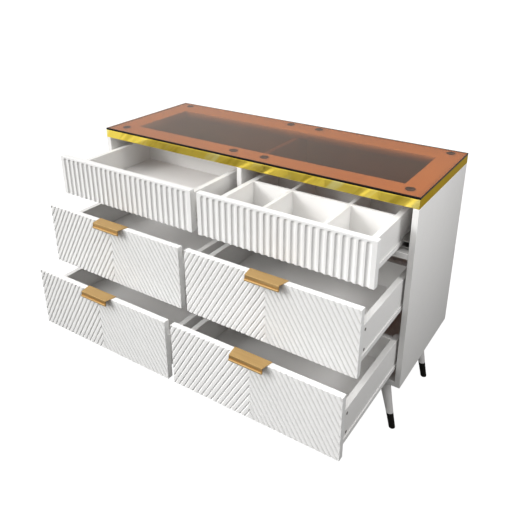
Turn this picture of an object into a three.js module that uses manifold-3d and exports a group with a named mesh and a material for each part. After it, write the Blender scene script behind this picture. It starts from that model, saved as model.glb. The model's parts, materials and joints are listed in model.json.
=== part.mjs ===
// A closet island on four splayed legs: a white cabinet with six drawers in two columns, a gold edge
// trim and a tinted glass top. It is shown with every drawer pulled out, each row further than the one
// above. Millimetres, +Z up, the open side towards -Y, origin on the floor under the middle.
import * as THREE from 'three';
import { mergeVertices } from 'three/addons/utils/BufferGeometryUtils.js';
import Module from 'manifold-3d';

const wasm = await Module();
wasm.setup();

// Cabinet
const cabinetWidth = 1200;
const cabinetDepth = 450;
const carcassHeight = 609;
const boardThickness = 18;
const railDepth = 60;
const joinGap = 0.3;

// Top: a board with a window, a metal band round it and the glass over both, with room for thin
// pads between the board and the glass
const frameThickness = 26;
const frameEndWidth = 78;
const frameFrontWidth = 91;
const frameBackWidth = 87;
const glassPadThickness = 2.5;
const trimWall = 4;
const glassThickness = 6;

// Legs, turned and splayed sideways
const legHeight = 228;
const footRadius = 11;
const legTopRadius = 23;
const footRounding = 3;
const footFromEnd = 32;
const footFromFace = 70;
const footSideOffset = 52;
const legFlarePower = 1.6;
const legRingCount = 7;
const legSideCount = 24;

// Drawer fronts
const frontThickness = 20;
const topFrontHeight = 137;
const frontReveal = 2.7;
const frontHeadGap = 2.5;
const frontRowGap = 4;
const frontFootGap = 4.5;

// Drawer boxes: a base board whose edges stand proud of the sides and run in the channels
const boxBackClearance = 21.7;
const boxBackSetIn = 18;
const baseThickness = 16;
const baseLedge = 3;
const topBoxInset = 30;
const topBoxDrop = 31;
const topBoxLift = 8;
const deepBoxInset = 4;
const deepBoxDrop = 62;
const deepBoxLift = 41;

// Channels on the cabinet walls
const channelWall = 1.5;
const channelBackClearance = 31.5;
const runningGap = 0.5;

// How much of each row's boxes the channels still hold when the row is pulled out as shown
const topRowHold = 159.8;
const middleRowHold = 91.8;
const bottomRowHold = 12.8;

// Dividers in the top right drawer
const dividerThickness = 12;
const dividerSpacing = 196;
const crossDividerFromFront = 206;

// Flutes of the top fronts
const fluteEndWidth = 10;
const flutePitch = 21.8;
const fluteRadius = 9;
const fluteDepth = 4.5;
const fluteFromTop = 5;
const fluteSideCount = 24;
const fluteNoseCount = 3;

// Chevron grooves of the deep fronts
const grooveWidth = 6;
const grooveDepth = 3;
const groovePitch = 15;
const grooveFirstFromTop = 7;
const grooveAngle = THREE.MathUtils.degToRad(59);

// Edge pulls, wrapped over the top edge of the deep fronts
const pullBackWidth = 124;
const pullLipWidth = 108;
const pullPlate = 1.6;
const pullReach = 18;
const pullBend = 2;
const pullBeadRadius = 3.2;
const pullBeadDrop = 13;
const pullFlangeDrop = 14;
const pullBendCount = 5;
const pullBeadCount = 14;

// Cutting tools reach past what they cut by this much
const cutMargin = 5;

// Places that follow from the sizes above
const halfWidth = cabinetWidth / 2;
const halfDepth = cabinetDepth / 2;
const carcassTop = legHeight + carcassHeight;
const openingWidth = (cabinetWidth - 3 * boardThickness) / 2;
const columnCentre = (openingWidth + boardThickness) / 2;
const frontWidth = openingWidth - 2 * frontReveal;
const innerWidth = cabinetWidth - 2 * boardThickness - 2 * joinGap;
const innerDepth = cabinetDepth - boardThickness - joinGap;
const boxDepth = innerDepth - frontThickness - boxBackClearance;
const channelLength = innerDepth + joinGap - frontThickness - runningGap - channelBackClearance;
const fluteCount = Math.floor((frontWidth - 2 * (fluteRadius + fluteEndWidth)) / flutePitch) + 1;
const trimHeight = frameThickness + glassPadThickness;
const glassBottom = carcassTop + joinGap + trimHeight + joinGap;
const railTop = carcassTop - frontHeadGap - topFrontHeight - frontHeadGap;
const middleFrontTop = railTop - boardThickness - frontHeadGap;
const bottomFrontFoot = legHeight + boardThickness + frontFootGap;
const deepFrontHeight = (middleFrontTop - frontRowGap - bottomFrontFoot) / 2;
const pullOverhang = pullReach - pullPlate + 2 * pullBeadRadius;
const farthestHeld = boxDepth + joinGap - runningGap;
const foremost = -halfDepth - (farthestHeld - bottomRowHold) - pullOverhang;
const originShift = -(foremost + halfDepth) / 2;

const rows = [
  {
    name: 'top',
    frontTop: carcassTop - frontHeadGap,
    frontHeight: topFrontHeight,
    pull: farthestHeld - topRowHold,
    inset: topBoxInset,
    drop: topBoxDrop,
    lift: topBoxLift,
    deep: false,
  },
  {
    name: 'middle',
    frontTop: middleFrontTop,
    frontHeight: deepFrontHeight,
    pull: farthestHeld - middleRowHold,
    inset: deepBoxInset,
    drop: deepBoxDrop,
    lift: deepBoxLift,
    deep: true,
  },
  {
    name: 'bottom',
    frontTop: middleFrontTop - deepFrontHeight - frontRowGap,
    frontHeight: deepFrontHeight,
    pull: farthestHeld - bottomRowHold,
    inset: deepBoxInset,
    drop: deepBoxDrop,
    lift: deepBoxLift,
    deep: true,
  },
];
const columns = [
  { name: 'left', side: -1 },
  { name: 'right', side: 1 },
];

const island = new THREE.Group();
island.name = 'closet_island';
const model = new THREE.Group();
model.position.y = originShift;
island.add(model);

const colours = {
  whiteBoard: { color: 0xf1efec, roughness: 0.5, metalness: 0 },
  whiteFront: { color: 0xf4f2ef, roughness: 0.45, metalness: 0 },
  goldTrim: { color: 0xd8b545, roughness: 0.12, metalness: 1 },
  goldPull: { color: 0xd9ae68, roughness: 0.25, metalness: 1 },
  tintedGlass: { color: 0xa8764e, roughness: 0.05, metalness: 0, transparent: true, opacity: 0.55 },
  whiteLeg: { color: 0xe9e6e2, roughness: 0.5, metalness: 0 },
  channelSteel: { color: 0xc9cac8, roughness: 0.4, metalness: 0.8 },
};

// A named mesh of its own material
function piece(name, geometry, colour, parent = model) {
  const mesh = new THREE.Mesh(geometry, new THREE.MeshStandardMaterial(colours[colour]));
  mesh.name = name;
  parent.add(mesh);
  return mesh;
}

// A box given by its lower and upper corner
function boxBetween(low, high) {
  const size = high.map((value, axis) => value - low[axis]);
  const middle = high.map((value, axis) => (value + low[axis]) / 2);
  const geometry = new THREE.BoxGeometry(...size);
  geometry.translate(...middle);
  return geometry;
}

function toSolid(geometry) {
  const plain = geometry.clone();
  plain.deleteAttribute('normal');
  plain.deleteAttribute('uv');
  const merged = mergeVertices(plain);
  const vertProperties = new Float32Array(merged.attributes.position.array);
  const triVerts = new Uint32Array(merged.index.array);
  return new wasm.Manifold(new wasm.Mesh({ numProp: 3, vertProperties, triVerts }));
}

function toGeometry(solid) {
  const mesh = solid.getMesh();
  const geometry = new THREE.BufferGeometry();
  geometry.setAttribute('position', new THREE.BufferAttribute(new Float32Array(mesh.vertProperties), 3));
  geometry.setIndex(new THREE.BufferAttribute(new Uint32Array(mesh.triVerts), 1));
  geometry.computeVertexNormals();
  return geometry;
}

function joined(geometries) {
  return geometries.map(toSolid).reduce((whole, next) => whole.add(next));
}

// A rectangular ring in plan, standing on height zero
function ringGeometry(low, high, holeLow, holeHigh, height) {
  const outline = new THREE.Shape();
  outline.moveTo(low[0], low[1]);
  outline.lineTo(high[0], low[1]);
  outline.lineTo(high[0], high[1]);
  outline.lineTo(low[0], high[1]);
  outline.closePath();
  const hole = new THREE.Path();
  hole.moveTo(holeLow[0], holeLow[1]);
  hole.lineTo(holeLow[0], holeHigh[1]);
  hole.lineTo(holeHigh[0], holeHigh[1]);
  hole.lineTo(holeHigh[0], holeLow[1]);
  hole.closePath();
  outline.holes.push(hole);
  return new THREE.ExtrudeGeometry(outline, { depth: height, bevelEnabled: false });
}

function addCarcass() {
  for (const column of columns) {
    const inner = halfWidth - boardThickness;
    const low = column.side < 0 ? -halfWidth : inner;
    const panel = boxBetween(
      [low, -halfDepth, legHeight],
      [low + boardThickness, halfDepth, carcassTop],
    );
    piece(`side_panel_${column.name}`, panel, 'whiteBoard');
  }
  const back = boxBetween(
    [-innerWidth / 2, halfDepth - boardThickness, legHeight],
    [innerWidth / 2, halfDepth, carcassTop],
  );
  piece('back_panel', back, 'whiteBoard');
  const bottom = boxBetween(
    [-innerWidth / 2, -halfDepth, legHeight],
    [innerWidth / 2, -halfDepth + innerDepth, legHeight + boardThickness],
  );
  piece('bottom_panel', bottom, 'whiteBoard');
  addPartitionAndRail();
}

// The rail and the partition cross in a halved joint: each is cut away over half the rail's depth
function addPartitionAndRail() {
  const railBottom = railTop - boardThickness;
  const jointFace = -halfDepth + railDepth / 2;
  const partition = toSolid(boxBetween(
    [-boardThickness / 2, -halfDepth, legHeight + boardThickness + joinGap],
    [boardThickness / 2, -halfDepth + innerDepth, carcassTop],
  ));
  const partitionNotch = toSolid(boxBetween(
    [-boardThickness / 2 - cutMargin, -halfDepth - cutMargin, railBottom - joinGap],
    [boardThickness / 2 + cutMargin, jointFace, railTop + joinGap],
  ));
  piece('centre_partition', toGeometry(partition.subtract(partitionNotch)), 'whiteBoard');
  const rail = toSolid(boxBetween(
    [-innerWidth / 2, -halfDepth, railBottom],
    [innerWidth / 2, -halfDepth + railDepth, railTop],
  ));
  const railNotch = toSolid(boxBetween(
    [-boardThickness / 2 - joinGap, jointFace - joinGap, railBottom - cutMargin],
    [boardThickness / 2 + joinGap, -halfDepth + railDepth + cutMargin, railTop + cutMargin],
  ));
  piece('front_rail', toGeometry(rail.subtract(railNotch)), 'whiteBoard');
}

function addTop() {
  const trim = ringGeometry(
    [-halfWidth, -halfDepth],
    [halfWidth, halfDepth],
    [-halfWidth + trimWall, -halfDepth + trimWall],
    [halfWidth - trimWall, halfDepth - trimWall],
    trimHeight,
  );
  piece('edge_trim', trim, 'goldTrim').position.z = carcassTop + joinGap;
  const edge = trimWall + joinGap;
  const frame = ringGeometry(
    [-halfWidth + edge, -halfDepth + edge],
    [halfWidth - edge, halfDepth - edge],
    [-halfWidth + frameEndWidth, -halfDepth + frameFrontWidth],
    [halfWidth - frameEndWidth, halfDepth - frameBackWidth],
    frameThickness,
  );
  piece('top_frame', frame, 'whiteBoard').position.z = carcassTop + joinGap;
  const glass = boxBetween(
    [-halfWidth, -halfDepth, glassBottom],
    [halfWidth, halfDepth, glassBottom + glassThickness],
  );
  piece('glass_top', glass, 'tintedGlass');
}

// A turned leg that widens towards the top, with the foot's edge rounded off
function legGeometry() {
  const top = legHeight - joinGap;
  const profile = [new THREE.Vector2(0, 0)];
  profile.push(new THREE.Vector2(footRadius - footRounding, 0));
  for (let ring = 1; ring <= legRingCount; ring += 1) {
    const height = footRounding + (top - footRounding) * (ring - 1) / (legRingCount - 1);
    const flare = (height / top) ** legFlarePower;
    profile.push(new THREE.Vector2(footRadius + (legTopRadius - footRadius) * flare, height));
  }
  profile.push(new THREE.Vector2(0, top));
  const geometry = new THREE.LatheGeometry(profile, legSideCount);
  geometry.rotateX(Math.PI / 2);
  return geometry;
}

function addLegs() {
  const slopeShare = footSideOffset / legHeight;
  for (const column of columns) {
    for (const face of [{ name: 'front', side: -1 }, { name: 'back', side: 1 }]) {
      const lean = new THREE.Matrix4().makeShear(0, 0, 0, 0, -column.side * slopeShare, 0);
      const geometry = legGeometry().applyMatrix4(lean);
      const leg = piece(`leg_${face.name}_${column.name}`, geometry, 'whiteLeg');
      leg.position.x = column.side * (halfWidth - footFromEnd);
      leg.position.y = face.side * (halfDepth - footFromFace);
    }
  }
}

// One flute's cutter: an upright bar with a round nose at its top
function fluteCutter(length) {
  const profile = [new THREE.Vector2(0, 0), new THREE.Vector2(fluteRadius, 0)];
  for (let step = 0; step < fluteNoseCount; step += 1) {
    const turn = step / fluteNoseCount * Math.PI / 2;
    const height = length - fluteRadius + fluteRadius * Math.sin(turn);
    profile.push(new THREE.Vector2(fluteRadius * Math.cos(turn), height));
  }
  profile.push(new THREE.Vector2(0, length));
  const geometry = new THREE.LatheGeometry(profile, fluteSideCount);
  geometry.rotateX(Math.PI / 2);
  return geometry;
}

// The plain board of a front: its outer face at y zero, its lower edge at z zero
function frontBlank(height) {
  return toSolid(boxBetween([-frontWidth / 2, 0, 0], [frontWidth / 2, frontThickness, height]));
}

function flutedFront() {
  const cutter = toSolid(fluteCutter(topFrontHeight - fluteFromTop + cutMargin));
  let front = frontBlank(topFrontHeight);
  for (let index = 0; index < fluteCount; index += 1) {
    const x = (index - (fluteCount - 1) / 2) * flutePitch;
    front = front.subtract(cutter.translate([x, fluteDepth - fluteRadius, -cutMargin]));
  }
  return toGeometry(front);
}

// A V-shaped bar along one arm of the chevron, from its apex on the centre line outwards and down
function grooveArm(side, apex, length) {
  const outside = grooveDepth;
  const scaleShare = (grooveDepth + outside) / grooveDepth;
  const section = new THREE.Shape();
  section.moveTo(-grooveWidth / 2 * scaleShare, -outside);
  section.lineTo(grooveWidth / 2 * scaleShare, -outside);
  section.lineTo(0, grooveDepth);
  section.closePath();
  const bar = new THREE.ExtrudeGeometry(section, { depth: length + grooveWidth, bevelEnabled: false });
  bar.translate(0, 0, -grooveWidth);
  const along = new THREE.Vector3(side * Math.cos(grooveAngle), 0, -Math.sin(grooveAngle));
  const across = new THREE.Vector3(along.z, 0, -along.x);
  const inward = new THREE.Vector3(0, 1, 0);
  const turn = new THREE.Matrix4().makeBasis(across, inward, along);
  turn.setPosition(0, 0, apex);
  return bar.applyMatrix4(turn);
}

function chevronFront() {
  const rise = groovePitch / Math.cos(grooveAngle);
  const highest = deepFrontHeight + frontWidth / 2 * Math.tan(grooveAngle);
  const reach = frontWidth / 2 / Math.cos(grooveAngle) + cutMargin;
  let front = frontBlank(deepFrontHeight);
  for (const column of columns) {
    const arms = [];
    for (let apex = deepFrontHeight - grooveFirstFromTop; apex > 0; apex -= rise) {
      arms.push(grooveArm(column.side, apex, reach));
    }
    for (let apex = deepFrontHeight - grooveFirstFromTop + rise; apex < highest; apex += rise) {
      arms.push(grooveArm(column.side, apex, reach));
    }
    const outer = column.side * (frontWidth / 2 + cutMargin);
    const half = toSolid(boxBetween(
      [Math.min(0, outer), -frontThickness, -cutMargin],
      [Math.max(0, outer), frontThickness, deepFrontHeight + cutMargin],
    ));
    front = front.subtract(joined(arms).intersect(half));
  }
  return toGeometry(front);
}

// The pull's section, outwards and up from the front's upper outer edge
function pullSection() {
  const back = frontThickness + joinGap;
  const top = joinGap + pullPlate;
  const section = new THREE.Shape();
  section.moveTo(-back - pullPlate, -pullFlangeDrop);
  section.lineTo(-back, -pullFlangeDrop);
  section.lineTo(-back, joinGap);
  section.lineTo(pullReach - pullBend, joinGap);
  section.absarc(pullReach - pullBend, top - pullBend, pullBend - pullPlate, Math.PI / 2, 0, true);
  section.lineTo(pullReach - pullPlate, -pullBeadDrop);
  section.lineTo(pullReach, -pullBeadDrop);
  section.lineTo(pullReach, top - pullBend);
  section.absarc(pullReach - pullBend, top - pullBend, pullBend, 0, Math.PI / 2, false);
  section.lineTo(-back - pullPlate, top);
  section.closePath();
  return section;
}

// Bent plate with a round bead along its lip, its ends cut at a slant
function pullGeometry() {
  const plate = new THREE.ExtrudeGeometry(pullSection(), {
    depth: pullBackWidth,
    bevelEnabled: false,
    curveSegments: pullBendCount,
  });
  plate.translate(0, 0, -pullBackWidth / 2);
  plate.applyMatrix4(new THREE.Matrix4().makeBasis(
    new THREE.Vector3(0, -1, 0),
    new THREE.Vector3(0, 0, 1),
    new THREE.Vector3(-1, 0, 0),
  ));
  const bead = new THREE.CylinderGeometry(pullBeadRadius, pullBeadRadius, pullBackWidth, pullBeadCount);
  bead.rotateZ(Math.PI / 2);
  bead.translate(0, -pullReach + pullPlate - pullBeadRadius, -pullBeadDrop);
  const rear = frontThickness + joinGap + pullPlate;
  const plan = new THREE.Shape();
  plan.moveTo(-pullLipWidth / 2, -pullOverhang);
  plan.lineTo(pullLipWidth / 2, -pullOverhang);
  plan.lineTo(pullBackWidth / 2, rear);
  plan.lineTo(-pullBackWidth / 2, rear);
  plan.closePath();
  const tall = 2 * pullFlangeDrop;
  const slant = new THREE.ExtrudeGeometry(plan, { depth: 2 * tall, bevelEnabled: false });
  slant.translate(0, 0, -tall);
  return toGeometry(joined([plate, bead]).intersect(toSolid(slant)));
}

// Heights of one row's box, above its front's lower edge
function boxHeights(row) {
  const sideBottom = row.lift + baseThickness + joinGap;
  const sideTop = row.frontHeight - row.drop;
  return { sideBottom, sideTop };
}

function addDrawer(row, column, frontGeometry) {
  const name = `${row.name}_${column.name}_drawer`;
  const drawer = new THREE.Group();
  drawer.position.x = column.side * columnCentre;
  drawer.position.y = -halfDepth - row.pull;
  drawer.position.z = row.frontTop - row.frontHeight;
  model.add(drawer);
  piece(`${name}_front`, frontGeometry, 'whiteFront', drawer);

  const { sideBottom, sideTop } = boxHeights(row);
  const outer = frontWidth / 2 - row.inset;
  const near = frontThickness + joinGap;
  const far = near + boxDepth;
  const base = boxBetween(
    [-outer - baseLedge, near, row.lift],
    [outer + baseLedge, far, row.lift + baseThickness],
  );
  piece(`${name}_base`, base, 'whiteBoard', drawer);
  for (const side of columns) {
    const low = side.side < 0 ? -outer : outer - boardThickness;
    const wall = boxBetween([low, near, sideBottom], [low + boardThickness, far, sideTop]);
    piece(`${name}_side_${side.name}`, wall, 'whiteBoard', drawer);
  }
  const inner = outer - boardThickness - joinGap;
  const backFar = far - boxBackSetIn;
  const back = boxBetween([-inner, backFar - boardThickness, sideBottom], [inner, backFar, sideTop]);
  piece(`${name}_back`, back, 'whiteBoard', drawer);
  return drawer;
}

// Two long dividers crossed by one, fixed together as a crate between the drawer's walls
function addDividerCrate(row, drawer) {
  const { sideBottom, sideTop } = boxHeights(row);
  const near = frontThickness + 2 * joinGap;
  const far = frontThickness + boxDepth - boxBackSetIn - boardThickness;
  const inner = frontWidth / 2 - row.inset - boardThickness - joinGap;
  const crossNear = frontThickness + crossDividerFromFront;
  const cross = boxBetween(
    [-inner, crossNear, sideBottom],
    [inner, crossNear + dividerThickness, sideTop],
  );
  const parts = [cross];
  for (const column of columns) {
    const low = column.side * dividerSpacing / 2 - dividerThickness / 2;
    parts.push(boxBetween([low, near, sideBottom], [low + dividerThickness, far, sideTop]));
  }
  piece('top_right_divider_crate', toGeometry(joined(parts)), 'whiteBoard', drawer);
}

// A channel seen from the front, open to the right, its web against the wall on the left
function channelGeometry(width) {
  const height = baseThickness + 2 * runningGap + 2 * channelWall;
  const section = new THREE.Shape();
  section.moveTo(0, 0);
  section.lineTo(width, 0);
  section.lineTo(width, channelWall);
  section.lineTo(channelWall, channelWall);
  section.lineTo(channelWall, height - channelWall);
  section.lineTo(width, height - channelWall);
  section.lineTo(width, height);
  section.lineTo(0, height);
  section.closePath();
  const geometry = new THREE.ExtrudeGeometry(section, { depth: channelLength, bevelEnabled: false });
  geometry.rotateX(Math.PI / 2);
  geometry.translate(0, channelLength, 0);
  return geometry;
}

function addChannels(row, column) {
  const width = row.inset + frontReveal - joinGap - runningGap;
  const wall = openingWidth / 2 - joinGap;
  for (const side of columns) {
    const geometry = channelGeometry(width);
    if (side.side > 0) {
      geometry.rotateZ(Math.PI);
      geometry.translate(0, channelLength, 0);
    }
    const channel = piece(`${row.name}_${column.name}_channel_${side.name}`, geometry, 'channelSteel');
    channel.position.x = column.side * columnCentre + side.side * wall;
    channel.position.y = -halfDepth + frontThickness + runningGap;
    channel.position.z = row.frontTop - row.frontHeight + row.lift - runningGap - channelWall;
  }
}

function addDrawers() {
  const fluted = flutedFront();
  const chevron = chevronFront();
  const pull = pullGeometry();
  for (const row of rows) {
    for (const column of columns) {
      const drawer = addDrawer(row, column, row.deep ? chevron : fluted);
      if (row.deep) {
        const handle = piece(`${row.name}_${column.name}_handle`, pull, 'goldPull', drawer);
        handle.position.z = row.frontHeight;
      } else if (column.side > 0) {
        addDividerCrate(row, drawer);
      }
      addChannels(row, column);
    }
  }
}

addCarcass();
addTop();
addLegs();
addDrawers();

export default island;
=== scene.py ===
# %% [markdown]
# # A closet island with six drawers
#
# This lesson dresses a finished furniture frame. The frame is exact and plain: boards with sharp
# edges, drawers that already run on their slides. Here every board gets the small rounded edges
# that catch light on real furniture, the fronts get their milled flutes and chevrons, and each
# surface gets a finish. Nothing is moved: a piece always sits where the frame says.

# %% Load the frame and measure it
import json
import math

import bmesh
import bpy
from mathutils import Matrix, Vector

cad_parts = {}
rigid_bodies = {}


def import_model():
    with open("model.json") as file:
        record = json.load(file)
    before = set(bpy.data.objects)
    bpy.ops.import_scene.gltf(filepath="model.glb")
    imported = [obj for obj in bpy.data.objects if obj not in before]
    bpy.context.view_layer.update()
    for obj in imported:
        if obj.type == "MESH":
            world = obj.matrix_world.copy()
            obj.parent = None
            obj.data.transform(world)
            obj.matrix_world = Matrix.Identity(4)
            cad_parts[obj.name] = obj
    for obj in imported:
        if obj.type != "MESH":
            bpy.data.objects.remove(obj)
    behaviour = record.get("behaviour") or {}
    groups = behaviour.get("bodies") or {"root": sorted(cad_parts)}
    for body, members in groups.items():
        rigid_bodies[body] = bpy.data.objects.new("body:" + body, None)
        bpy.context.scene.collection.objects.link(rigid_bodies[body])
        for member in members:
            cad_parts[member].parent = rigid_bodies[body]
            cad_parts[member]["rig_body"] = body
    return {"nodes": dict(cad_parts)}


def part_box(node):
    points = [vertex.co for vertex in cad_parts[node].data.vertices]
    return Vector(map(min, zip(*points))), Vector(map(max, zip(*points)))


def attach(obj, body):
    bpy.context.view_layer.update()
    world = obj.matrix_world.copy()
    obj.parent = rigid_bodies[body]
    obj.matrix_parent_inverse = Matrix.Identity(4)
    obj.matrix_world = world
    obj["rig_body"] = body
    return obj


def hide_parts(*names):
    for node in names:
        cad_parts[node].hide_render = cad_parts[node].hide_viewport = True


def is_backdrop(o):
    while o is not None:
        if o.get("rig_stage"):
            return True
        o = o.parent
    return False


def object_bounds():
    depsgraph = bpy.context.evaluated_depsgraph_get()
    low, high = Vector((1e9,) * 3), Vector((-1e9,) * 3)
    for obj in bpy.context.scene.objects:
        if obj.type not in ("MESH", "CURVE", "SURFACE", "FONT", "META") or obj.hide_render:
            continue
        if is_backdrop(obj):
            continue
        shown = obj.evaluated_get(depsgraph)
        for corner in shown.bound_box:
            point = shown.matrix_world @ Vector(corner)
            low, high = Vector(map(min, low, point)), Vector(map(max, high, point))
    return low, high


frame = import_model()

cad_low, cad_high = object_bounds()
print("overall size in metres:", [round(v, 4) for v in cad_high - cad_low])

# %% [markdown]
# ## Where the camera stands
#
# The island is seen from its right front, a little above eye level of a seated person. The camera
# could be aimed by eye, but edges that should be parallel would drift. So its place, its turn and
# its lens come from the straight edges of the cabinet, and the small lens shift from where those
# edges vanish.

# %% Make the camera
VIEW_AZIMUTH = math.radians(32.817)
VIEW_ELEVATION = math.radians(23.152)
VIEW_ROLL = math.radians(0.211)
CAMERA_FROM_GLASS = Vector((1.05582, -1.68379, 0.62914))
SENSOR_WIDTH = 36.0
IMAGE_SIDE = 515
FOCAL_PIXELS = 597.054
LENS_CENTRE_X = 11.417
LENS_CENTRE_Y = -59.585

glass_low, glass_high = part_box("glass_top")
glass_centre = Vector(((glass_low.x + glass_high.x) / 2, (glass_low.y + glass_high.y) / 2, glass_high.z))
camera_data = bpy.data.cameras.new("camera")
camera = bpy.data.objects.new("camera", camera_data)
bpy.context.scene.collection.objects.link(camera)
bpy.context.scene.camera = camera
camera_data.sensor_width = SENSOR_WIDTH
camera_data.lens = FOCAL_PIXELS / IMAGE_SIDE * SENSOR_WIDTH
camera_data.shift_x = -LENS_CENTRE_X / IMAGE_SIDE
camera_data.shift_y = LENS_CENTRE_Y / IMAGE_SIDE
camera.location = glass_centre + CAMERA_FROM_GLASS
camera.rotation_euler = (math.pi / 2 - VIEW_ELEVATION, 0, VIEW_AZIMUTH)
camera.rotation_euler.rotate_axis("Z", VIEW_ROLL)
print("lens in mm:", round(camera_data.lens, 2), "camera at", [round(v, 3) for v in camera.location])

# %% [markdown]
# ## Helpers for modelling by hand
#
# Every new piece starts as a primitive and is then shaped as it would be at the workbench: cut,
# extruded, rounded. Operators act on whatever is selected, so each helper first clears the
# selection. A finished piece keeps its origin at the world's origin, with its place in its mesh,
# because the materials below read object coordinates.

# %% Selecting
MM = 0.001
SAME_PLACE = 0.01 * MM


def near(value, target):
    """Whether two measures agree to a hundredth of a millimetre."""
    return abs(value - target) < SAME_PLACE


def deselect_all():
    """Leaves edit mode and clears the selection, the frame's own pieces included."""
    if bpy.context.object and bpy.context.object.mode != "OBJECT":
        bpy.ops.object.mode_set(mode="OBJECT")
    bpy.ops.object.select_all(action="DESELECT")


def select_only(piece):
    deselect_all()
    piece.select_set(True)
    bpy.context.view_layer.objects.active = piece


def edit_all(piece):
    """Opens a piece in edit mode with its whole mesh selected."""
    select_only(piece)
    bpy.ops.object.mode_set(mode="EDIT")
    bpy.ops.mesh.select_all(action="SELECT")


def leave_edit():
    bpy.ops.object.mode_set(mode="OBJECT")


def pick_vertices(piece, wanted):
    """Selects, in edit mode, the vertices whose place passes the test."""
    bpy.ops.mesh.select_mode(type="VERT")
    bpy.ops.mesh.select_all(action="DESELECT")
    mesh = bmesh.from_edit_mesh(piece.data)
    for vertex in mesh.verts:
        vertex.select = wanted(vertex.co)
    mesh.select_flush_mode()
    bmesh.update_edit_mesh(piece.data)


def pick_faces(piece, wanted):
    """Selects, in edit mode, the faces that pass the test."""
    bpy.ops.mesh.select_all(action="DESELECT")
    mesh = bmesh.from_edit_mesh(piece.data)
    for face in mesh.faces:
        face.select = wanted(face)
    bmesh.update_edit_mesh(piece.data)


print("same place within mm:", SAME_PLACE / MM)


# %% Blocks, cuts and rounded edges
def named(name):
    """The primitive that was just added, its place put into its mesh, under a new name."""
    piece = bpy.context.object
    piece.name = name
    piece.data.name = name
    bpy.ops.object.transform_apply(location=True, rotation=True, scale=True)
    return piece


def add_block(name, low, high):
    """A cube primitive stretched between two corners."""
    deselect_all()
    low, high = Vector(low), Vector(high)
    bpy.ops.mesh.primitive_cube_add(size=1, location=(low + high) / 2)
    bpy.context.object.scale = high - low
    return named(name)


def apply_modifier(piece, kind, **settings):
    """Adds a modifier, sets it and applies it at once."""
    select_only(piece)
    modifier = piece.modifiers.new(kind.lower(), kind)
    for key, value in settings.items():
        setattr(modifier, key, value)
    bpy.ops.object.modifier_apply(modifier=modifier.name)


def combine(piece, other, operation):
    """Cuts or joins a piece with another, which is used up."""
    apply_modifier(piece, "BOOLEAN", operation=operation, solver="EXACT", object=other)
    bpy.data.objects.remove(other)


def cut_block(piece, low, high):
    """Saws a block-shaped notch or window out of a piece."""
    combine(piece, add_block("saw_cut", low, high), "DIFFERENCE")


def ease_edges(piece, radius, steps=2, sharper_than=25):
    """Rounds every edge that turns more sharply than the angle, in degrees."""
    apply_modifier(
        piece, "BEVEL", width=radius, segments=steps, limit_method="ANGLE",
        angle_limit=math.radians(sharper_than), use_clamp_overlap=True,
    )


def smooth_faces(piece, sharper_than=50):
    """Shades curved faces smoothly and keeps broad flat faces flat."""
    select_only(piece)
    bpy.ops.object.shade_smooth_by_angle(angle=math.radians(sharper_than))
    apply_modifier(piece, "WEIGHTED_NORMAL", keep_sharp=True)


def turn_faces_out(piece):
    edit_all(piece)
    bpy.ops.mesh.normals_make_consistent(inside=False)
    leave_edit()


def count_triangles(piece):
    return sum(len(face.vertices) - 2 for face in piece.data.polygons)


print("shaping helpers ready")


# %% Putting a piece in its place
def body_of_node(node):
    return frame["nodes"][node]["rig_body"]


def fit_piece(piece, node, slot, finish=None):
    """Puts a finished piece in a node's stead, in the slot's finish unless another is named."""
    piece.data.materials.clear()
    piece.data.materials.append(FINISH[finish or slot])
    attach(piece, body_of_node(node))
    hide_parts(node)


def add_to_body(piece, body, slot):
    """Lets a small extra piece, which stands for no node, ride on a body."""
    piece.data.materials.append(FINISH[slot])
    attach(piece, body)


print("the glass rides on:", body_of_node("glass_top"))

# %% [markdown]
# ## A plain studio
#
# The island stands on a plain pale floor under soft light. Lamps alone could light it, but brass
# shows whatever it mirrors, so the sky has soft bright patches: a broad one overhead, one at the
# upper left that the metal mirrors, and weak pale walls at the right, the back and the left. The
# key light is a broad soft sun from the upper left front, which strikes the grooves' walls at a
# slant and so draws the flutes and the chevrons. Metal and glass don't mirror it, because its
# blurred disc would burn out the pulls. The right is dimmer, so the island's right end is greyer
# than its front, and one small soft lamp close to that end lets it fade from its upper front corner.

# %% Nodes by short calls
def add_node(tree, kind, wires=None, **settings):
    """Adds a node. Wires give each named input a value or another node's output."""
    node = tree.nodes.new(kind)
    for key, value in settings.items():
        setattr(node, key, value)
    for socket, value in (wires or {}).items():
        if isinstance(value, bpy.types.NodeSocket):
            tree.links.new(value, node.inputs[socket])
        else:
            node.inputs[socket].default_value = value
    return node


def add_math(tree, operation, first, second):
    return add_node(tree, "ShaderNodeMath", {0: first, 1: second}, operation=operation).outputs[0]


def ramp_between(tree, value, low, high, out_low=0.0, out_high=1.0):
    """Maps a value smoothly from one range to another and stops at the ends."""
    wires = {"Value": value, "From Min": low, "From Max": high, "To Min": out_low, "To Max": out_high}
    return add_node(tree, "ShaderNodeMapRange", wires, interpolation_type="SMOOTHSTEP").outputs["Result"]


# %% Sky
# Each patch: the way it is seen from the island, where it fades out and where it is full, how bright
SKY_BASE = 0.24
SKY_PATCHES = {
    "overhead": ((-0.15, -0.15, 1.0), 0.60, 0.95, 0.95),
    "upper_left": ((-0.60, -0.62, 0.45), 0.40, 0.95, 1.1),
    "right": ((1.0, 0.45, 0.2), 0.20, 0.90, 0.12),
    "back_wall": ((-0.45, 1.0, 0.35), 0.45, 0.90, 0.12),
    "left_wall": ((-1.0, 0.35, 0.30), 0.60, 0.95, 0.20),
}
SKY_COLOUR = (1.0, 0.992, 0.98, 1)
SKY_AS_SEEN = 1.05

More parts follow.
